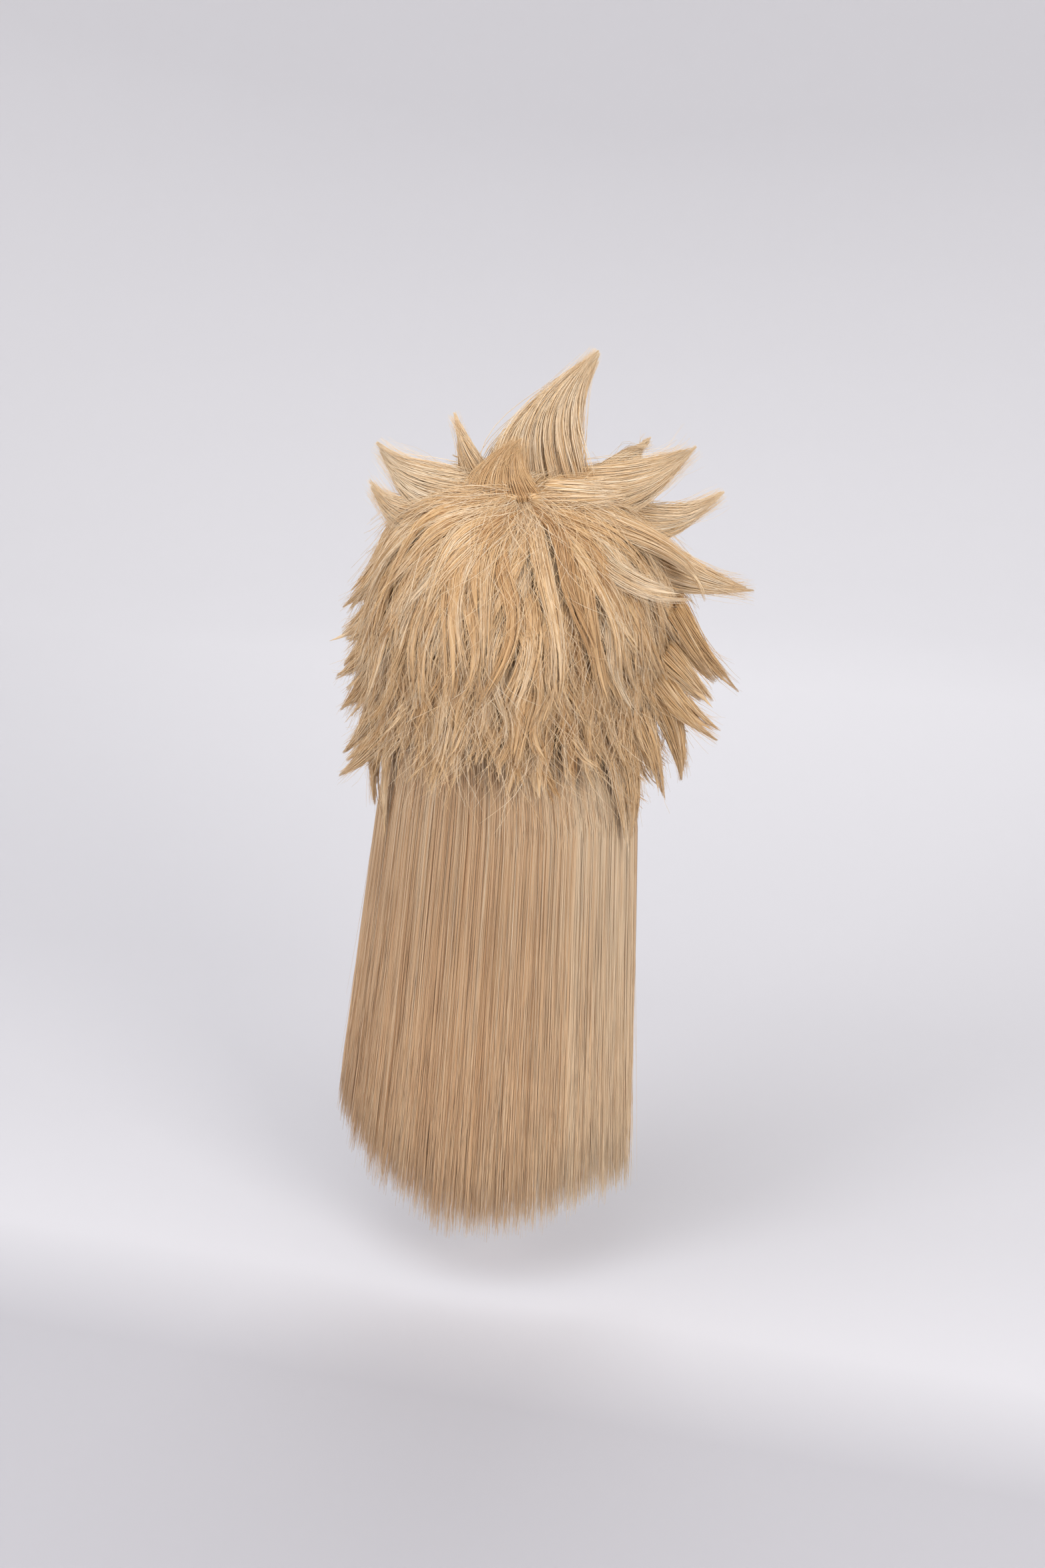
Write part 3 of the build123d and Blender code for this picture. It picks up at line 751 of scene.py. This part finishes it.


# ---- spikes and listed locks ----

# Each standing spike: root, bend and tip, half-width, half-thickness, tone and the power of its taper
SPIKES = {
    "tall_top_spike": ("top_spike", [
        ((-10, 8, 100), (-8, -12, 146), (-49, -28, 196), 34, 22, 0.7, 2.3),
    ]),
    "left_upper_spike": ("left_spike_1", [
        ((12, 34, 92), (54, 36, 94), (95, 36, 137), 33, 18, 0.76, 1.6),
    ]),
    "left_lower_spike": ("left_spike_2", [
        ((40, 48, 78), (72, 46, 82), (98, 40, 111), 21, 12, 0.66, 1.5),
    ]),
    "right_upper_spike": ("right_spike_1", [
        ((-30, 14, 96), (-74, -8, 98), (-114, -38, 133), 28, 17, 0.68, 1.7),
    ]),
    "right_middle_spike": ("right_spike_2", [
        ((-68, -4, 80), (-104, -24, 77), (-135, -38, 102), 18, 14, 0.7, 1.4),
    ]),
    "right_lower_spike": ("right_spike_3", [
        ((-88, -3, 58), (-124, -24, 38), (-153, -46, 31), 19, 14, 0.66, 1.4),
    ]),
    "far_right_spike": ("right_far_spike", [
        ((-48, -42, 104), (-62, -54, 118), (-76, -60, 133), 12, 9, 0.7, 1.5),
    ]),
    "small_standing_spikes": ("small_top_spikes", [
        ((-2, 44, 94), (6, 40, 122), (-8, 26, 142), 25, 8, 0.4, 2.0),
        ((26, 12, 98), (36, 9, 128), (45, 11, 155), 16, 10, 0.64, 1.6),
    ]),
    "curled_right_lock": ("right_curled_lock", [
        ((-32, 46, 98), (-91, 72, 44), (-134, 42, 48), 11, 7, 0.75, 2.2),
        ((-30, 42, 98), (-124, 13, 80), (-138, 14, 28), 12, 8, 0.6, 2.2),
        ((-28, 38, 104), (-58, 34, 106), (-88, 29, 108), 13, 9, 0.68, 1.8),
    ]),
    "left_edge_locks": ("left_side_locks", [
        ((64, 60, 62), (91, 54, 37), (116, 50, 23), 11, 8, 0.5, 1.6),
        ((74, 63, 38), (98, 57, 6), (132, 52, -4), 13, 9, 0.6, 1.6),
        ((75, 68, 12), (102, 62, -12), (125, 54, -32), 13, 9, 0.55, 1.6),
        ((79, 71, -6), (95, 65, -32), (118, 56, -52), 11, 8, 0.45, 1.6),
        ((79, 71, -32), (93, 65, -63), (118, 56, -80), 12, 8, 0.55, 1.6),
        ((77, 71, -56), (98, 67, -82), (122, 57, -98), 11, 8, 0.5, 1.6),
        ((82, 52, -48), (98, 56, -84), (88, 52, -128), 9, 6, 0.5, 1.4),
        ((72, 66, -50), (84, 67, -96), (80, 62, -142), 6, 4, 0.6, 1.2),
    ]),
    "right_edge_locks": ("right_side_locks", [
        ((-104, 5, 28), (-124, -11, -10), (-149, -35, -42), 16, 11, 0.42, 1.5),
        ((-104, 20, 0), (-130, 10, -30), (-140, -1, -46), 12, 8, 0.55, 1.6),
        ((-102, 26, -16), (-124, 22, -45), (-146, 10, -58), 12, 8, 0.5, 1.6),
        ((-106, 22, -32), (-120, 15, -64), (-117, 10, -96), 11, 8, 0.45, 1.8),
        ((-92, 44, -38), (-108, 42, -70), (-109, 36, -102), 11, 8, 0.5, 1.8),
        ((-84, 56, -44), (-102, 56, -86), (-92, 48, -132), 9, 6, 0.5, 1.4),
        ((-78, 62, -50), (-92, 58, -100), (-90, 50, -150), 6, 4, 0.6, 1.2),
    ]),
    "fringe": ("fringe_locks", [
        ((-50, -80, 60), (-66, -104, 26), (-62, -102, -10), 15, 8, 0.5, 1.8),
        ((-36, -92, 66), (-52, -116, 30), (-44, -114, 0), 14, 8, 0.6, 1.8),
        ((-20, -98, 66), (-30, -126, 30), (-32, -119, -4), 15, 8, 0.52, 1.8),
        ((2, -102, 66), (4, -132, 32), (2, -124, 2), 15, 8, 0.6, 1.8),
        ((20, -98, 66), (24, -128, 32), (20, -120, 8), 14, 8, 0.48, 1.8),
        ((32, -94, 64), (42, -120, 28), (37, -117, -8), 15, 8, 0.55, 1.8),
        ((52, -80, 60), (68, -104, 24), (66, -100, -14), 15, 8, 0.5, 1.8),
    ]),
    "right_sideburn": ("sideburn_locks", [
        ((-80, -56, 34), (-98, -72, -10), (-90, -76, -78), 13, 8, 0.5, 1.8),
        ((-84, -44, 26), (-102, -52, -10), (-98, -60, -60), 12, 8, 0.45, 1.8),
        ((-88, -28, 30), (-106, -34, -16), (-101, -42, -76), 12, 8, 0.5, 1.8),
        ((-90, -12, 26), (-108, -14, -20), (-104, -22, -84), 12, 8, 0.55, 1.8),
        ((-90, 4, 20), (-110, 4, -24), (-106, -4, -88), 12, 8, 0.48, 1.8),
    ]),
    "left_sideburn": ("sideburn_locks", [
        ((80, -56, 34), (98, -72, -10), (90, -76, -78), 13, 8, 0.5, 1.8),
        ((84, -44, 26), (102, -52, -10), (98, -60, -60), 12, 8, 0.45, 1.8),
        ((88, -28, 30), (106, -34, -16), (101, -42, -76), 12, 8, 0.5, 1.8),
        ((90, -12, 26), (108, -14, -20), (104, -22, -84), 12, 8, 0.55, 1.8),
        ((90, 4, 20), (108, 4, -24), (104, -4, -88), 12, 8, 0.48, 1.8),
    ]),
}  # fmt: skip
SHAGGY = {"curled_right_lock", "left_edge_locks", "right_edge_locks", "fringe"}
SHAGGY |= {"left_sideburn", "right_sideburn"}
SHAGGY_STYLE = {"split": 0.34, "comb": 0.45, "ragged": 0.34, "fluff": 0.16, "sharp": 1.1, "core": 0.58}
SMOOTH_STYLE = {"split": 0.06, "comb": 0.12, "ragged": 0.1, "fluff": 0.14, "sharp": 1.35, "fine": 0.8}
SHAGGY_FIBRES = 0.85  # shaggy locks are this much thinner in fibres than smooth spikes
WIDE = 33  # the half-width of a spike that takes the whole number of fibres
SPIKE_POINTS = 12


class WIG_OT_spikes(bpy.types.Operator):
    """Set the standing spikes, the curled locks and the fringe one by one"""

    bl_idname = "wig.spikes"
    bl_label = "Spikes and set locks"

    def execute(self, context):
        most = context.scene.wig_hair.spike_fibres
        for name, (node, locks) in SPIKES.items():
            rng = random_for(name)
            bundle = Bundle()
            for root, bend, tip, half_width, half_thick, tone, power in locks:
                line = curve((root, bend, tip), SPIKE_POINTS)
                outward = outward_from(line, ROOT_FORM)
                fibres = int(most * half_width / WIDE * (0.6 + 0.4 * half_width / WIDE))
                style = SMOOTH_STYLE
                if name in SHAGGY:
                    fibres = int(fibres * SHAGGY_FIBRES)
                    style = SHAGGY_STYLE
                size = (half_width, half_thick)
                add_lock(bundle, rng, line, outward, *size, fibres, tone, power=power, **style)
            piece = bundle.piece(name, fibre_finish(), "short_fibre")
            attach(piece, "cap")
            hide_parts(node)
        return {"FINISHED"}


# ---- long rows ----

# Height, half-width, depth and sideways drift of the inner long row; the others lie a step further out
LONG_SECTIONS = np.array(
    [(-430, 116, 80, 26), (-110, 88, 80, 1), (-68, 76, 80, 0), (-44, 76, 90, 0)], float
)
LONG_STEP = 5.3
LONG_OPENING = np.radians(67)  # each side of the middle of the nape
LONG_TOP = -70.0
STRIPS = 42  # in each half of a row
STRIP_HALF_WIDTH = 3.6
STRIP_HALF_THICK = 0.4
CLUMPS = 160
# Where the ends reach: a place from the right edge, -1, to the left edge, 1, and its height
LONG_ENDS = [(-1.0, -398), (-0.7, -408), (-0.2, -430), (0.1, -428), (0.4, -408), (0.7, -384), (1.0, -366)]
LONG_ROWS = [
    ("inner_long_hair", "inner_long_row"),
    ("middle_long_hair", "middle_long_row"),
    ("outer_long_hair", "outer_long_row"),
]


class WIG_OT_long_hair(bpy.types.Operator):
    """Hang the three rows of long straight hair from the nape"""

    bl_idname = "wig.long_hair"
    bl_label = "Long rows"

    def execute(self, context):
        fibres = context.scene.wig_hair.row_fibres
        for number, (name, node) in enumerate(LONG_ROWS):
            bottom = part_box(node)[0].z / MM
            for side, near, far in (("right", -1.0, 0.0), ("left", 0.0, 1.0)):
                rng = random_for(side + name)
                bundle = Bundle()
                span = (near * LONG_OPENING, far * LONG_OPENING)
                self.strips(bundle, rng, number, bottom, span)
                self.fibres(bundle, rng, number, bottom, span, fibres // 2)
                piece = bundle.piece(f"{side}_{name}", fibre_finish(True), "long_fibre")
                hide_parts(node)
                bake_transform(piece)
        return {"FINISHED"}

    def place(self, number, bearing, heights, offset):
        """Points of a row at these bearings round the nape and heights."""
        order = LONG_SECTIONS[:, 0]
        width, depth, drift = (np.interp(heights, order, LONG_SECTIONS[:, column]) for column in (1, 2, 3))
        grown = number * LONG_STEP + 2.0 + offset
        return np.stack(
            [drift + (width + grown) * np.sin(bearing), (depth + grown) * np.cos(bearing), heights], axis=-1
        )

    def ends_at(self, bearing, bottom):
        """Height where the hair ends at a bearing."""
        places, heights = zip(*LONG_ENDS)
        lowest = min(heights)
        return np.interp(bearing / LONG_OPENING, places, heights) - lowest + bottom + 4.0

    def strips(self, bundle, rng, number, bottom, span):
        """Flat cores that close the row behind its fibres."""
        bearing = np.linspace(*span, STRIPS) + rng.normal(0, 0.006, STRIPS)
        end = self.ends_at(bearing, bottom) + rng.uniform(50, 120, STRIPS)
        own = np.linspace(0.0, 1.0, 14)[None, :]
        heights = LONG_TOP + (end[:, None] - LONG_TOP) * own
        around = np.broadcast_to(bearing[:, None], heights.shape)
        points = self.place(number, around, heights, 0.0)
        out = np.stack([np.sin(around), np.cos(around), np.zeros_like(around)], axis=-1)
        side = np.stack([np.cos(around), -np.sin(around), np.zeros_like(around)], axis=-1)
        taper = (1.0 - own**5)[:, :, None]
        # painted shade: the strips are a little darker than the fibres over them, where they show behind the
        # row
        tone = np.clip(rng.normal(0.42, 0.04, (STRIPS, 1)) + WEAVE * 1.3, 0.03, 0.97)
        across = side * taper * STRIP_HALF_WIDTH
        thick = out * taper * STRIP_HALF_THICK
        bundle.tubes(points, across, thick, tone, np.broadcast_to(own, heights.shape), CORE_SIDES)

    def fibres(self, bundle, rng, number, bottom, span, count):
        """Fibres that hang in fine clumps and thin out towards their ends."""
        bearing = rng.uniform(*span, count)
        clumps = np.sort(rng.uniform(*span, CLUMPS))
        guess = bearing + rng.normal(0.0, 0.012, count)
        nearest = np.argmin(np.abs(guess[:, None] - clumps[None]), axis=1)
        clump_end = rng.uniform(-4, 16, CLUMPS)
        clump_tone = rng.normal(0.0, 0.09, CLUMPS)
        end = self.ends_at(bearing, bottom) + clump_end[nearest] + rng.exponential(32.0, count).clip(0, 150)
        end = np.maximum(end - 4.0, bottom)
        top = rng.uniform(-72, -48, count)
        own = np.linspace(0.0, 1.0, 12)[None, :]
        heights = top[:, None] + (end - top)[:, None] * own
        fallen = (heights - LONG_TOP) / (bottom - LONG_TOP)
        pull = smooth(fallen) * 0.2
        around = bearing[:, None] * (1 - pull) + clumps[nearest][:, None] * pull
        around = around + 0.012 * np.sin(own * 5 + rng.uniform(0, 6.28, (count, 1))) * own
        offset = rng.uniform(-1.7, 1.7, (count, 1)) * (1.0 - 0.2 * own)
        loose = rng.uniform(size=(count, 1)) < 0.05
        offset = offset + np.where(loose, 3.5, 0.0) * own**2
        around = around + np.where(loose, rng.normal(0.0, 0.045, (count, 1)), 0.0) * own**1.5
        points = self.place(number, around, heights, offset)
        radius = np.where(loose, 0.15, rng.uniform(0.24, 0.36, (count, 1))) * (1.0 - 0.8 * own**4)
        # painted light: the rows' right side is made paler, as where the light falls more strongly on it
        painted_side_light = 0.44 * smooth(-bearing / LONG_OPENING)  # the rows' right side is a shade paler
        tone = np.clip(0.48 + painted_side_light + clump_tone[nearest] + rng.normal(0.0, 0.1, count), 0.02, 0.98)
        bundle.fibres(points, radius, tone, np.broadcast_to(fallen.clip(0, 1), heights.shape), rng)


# ---- cap and hardware ----


def finish(nodes, made):
    """Gives CAD nodes this finish."""
    for name in nodes:
        slots = NODES[name].material_slots
        if not slots:
            raise RuntimeError(f"{name} has no material slot")
        for place in slots:
            place.material = made


def knit(name, colours, spacing, strength):
    """Knitted or woven cloth of polyester: round yarns that cross, so that it looks soft and matt.

    The spacing of the yarns is in metres. The ribbon's threads are too fine to show, so they are drawn
    several times as coarse as real ones.
    """

    def build(tree):
        place = add(tree, "ShaderNodeTexCoord").outputs["Object"]
        cells = {"Vector": place, "Scale": 1.0 / spacing, "Randomness": 0.25}
        from_yarn = add(tree, "ShaderNodeTexVoronoi", cells).outputs["Distance"]
        stops = [(0.15, linear(colours[0])), (0.75, linear(colours[1]))]
        shade = add(tree, "ShaderNodeValToRGB", {0: from_yarn}, stops=stops)
        relief = {"Height": from_yarn, "Strength": strength, "Distance": spacing * 0.3}
        bump = add(tree, "ShaderNodeBump", relief, invert=True)
        surface = {
            "Base Color": shade.outputs[0],
            "Roughness": 0.82,
            "Sheen Weight": 0.25,
            "Sheen Roughness": 0.4,
            "Normal": bump.outputs[0],
        }
        return add(tree, "ShaderNodeBsdfPrincipled", surface)

    return material(name, build)


def metal(name, colour, roughness, metallic, grain):
    """Wire or strip metal: plated, lacquered or bare, with fine drawn marks a grain in metres apart."""

    def build(tree):
        place = add(tree, "ShaderNodeTexCoord").outputs["Object"]
        marks = add(tree, "ShaderNodeTexNoise", {"Vector": place, "Scale": 1.0 / grain, "Detail": 4.0})
        span = {0: marks.outputs[0], 3: roughness - 0.08, 4: roughness + 0.1}
        gloss = add(tree, "ShaderNodeMapRange", span)
        relief = {"Height": marks.outputs[0], "Strength": 0.12, "Distance": grain * 0.2}
        bump = add(tree, "ShaderNodeBump", relief)
        surface = {
            "Base Color": linear(colour),
            "Metallic": metallic,
            "Roughness": gloss.outputs[0],
            "Normal": bump.outputs[0],
        }
        return add(tree, "ShaderNodeBsdfPrincipled", surface)

    return material(name, build)


class WIG_OT_cap(bpy.types.Operator):
    """Finish the sewn cap: net, bands, ribbons, weft tracks, patch, stays and straps"""

    bl_idname = "wig.cap"
    bl_label = "Cap"

    def execute(self, context):
        tracks = [name for name in NODES if name.startswith("weft_track")]
        nets = [name for name in NODES if name.endswith("crown_net")]
        finish([*nets, "nape_panel"], knit("knitted_rose_net", ("#65534A", "#3A3029"), 0.0022, 0.6))
        bands = ["front_band", "left_ear_tab", "right_ear_tab"]
        finish(bands, knit("brushed_tricot", ("#564538", "#3C2F26"), 0.0008, 0.4))
        ribbons = ["centre_ribbon", "left_ribbon", "right_ribbon"]
        finish(ribbons, knit("woven_satin_ribbon", ("#655140", "#4C3C30"), 0.0007, 0.3))
        finish(tracks, knit("stitched_weft", ("#C9AD80", "#8F7350"), 0.0012, 0.7))
        finish(["crown_patch"], knit("monofilament_mesh", ("#D8BE95", "#B2946A"), 0.0009, 0.4))
        stays = ["left_temple_stay", "right_temple_stay"]
        finish(stays, metal("bare_aluminium_strip", "#B4B4B6", 0.38, 1.0, 0.0006))
        straps = ["left_strap", "right_strap", "left_strap_loops", "right_strap_loops"]
        finish(straps, knit("ribbed_elastic", ("#453B35", "#27201C"), 0.0009, 0.7))
        return {"FINISHED"}


class WIG_OT_hardware(bpy.types.Operator):
    """Finish the snap combs and the strap hooks"""

    bl_idname = "wig.hardware"
    bl_label = "Combs and hooks"

    def execute(self, context):
        combs = [name for name in NODES if "_comb_" in name] + ["comb_pins"]
        finish(combs, metal("lacquered_spring_steel", "#5E4A3C", 0.36, 0.0, 0.0008))
        finish(["left_hook", "right_hook"], metal("nickel_plated_wire", "#B9B2A6", 0.22, 1.0, 0.0006))
        return {"FINISHED"}


# ---- add-on ----

STEPS = ("studio", "cap", "hardware", "short_layers", "spikes", "long_hair")


class WIG_PT_panel(bpy.types.Panel):
    """Lists the wig's steps in the sidebar"""

    bl_label = "Costume wig"
    bl_idname = "WIG_PT_panel"
    bl_space_type = "VIEW_3D"
    bl_region_type = "UI"
    bl_category = "Wig"

    def draw(self, context):
        for step in STEPS:
            self.layout.operator(f"wig.{step}")
        for group in (context.scene.wig_studio, context.scene.wig_hair):
            box = self.layout.box()
            for name in type(group).__annotations__:
                box.prop(group, name)


CLASSES = (
    StudioSettings,
    HairSettings,
    WIG_OT_studio,
    WIG_OT_cap,
    WIG_OT_hardware,
    WIG_OT_short_layers,
    WIG_OT_spikes,
    WIG_OT_long_hair,
    WIG_PT_panel,
)


def register():
    """Adds the settings, steps and panel to Blender."""
    for item in CLASSES:
        bpy.utils.register_class(item)
    bpy.types.Scene.wig_studio = PointerProperty(type=StudioSettings)
    bpy.types.Scene.wig_hair = PointerProperty(type=HairSettings)


def unregister():
    """Takes them away again."""
    del bpy.types.Scene.wig_hair
    del bpy.types.Scene.wig_studio
    for item in reversed(CLASSES):
        bpy.utils.unregister_class(item)


def main():
    """Builds the whole wig."""
    register()
    for step in STEPS:
        getattr(bpy.ops.wig, step)()
    bpy.context.view_layer.update()


if __name__ == "__main__":
    main()
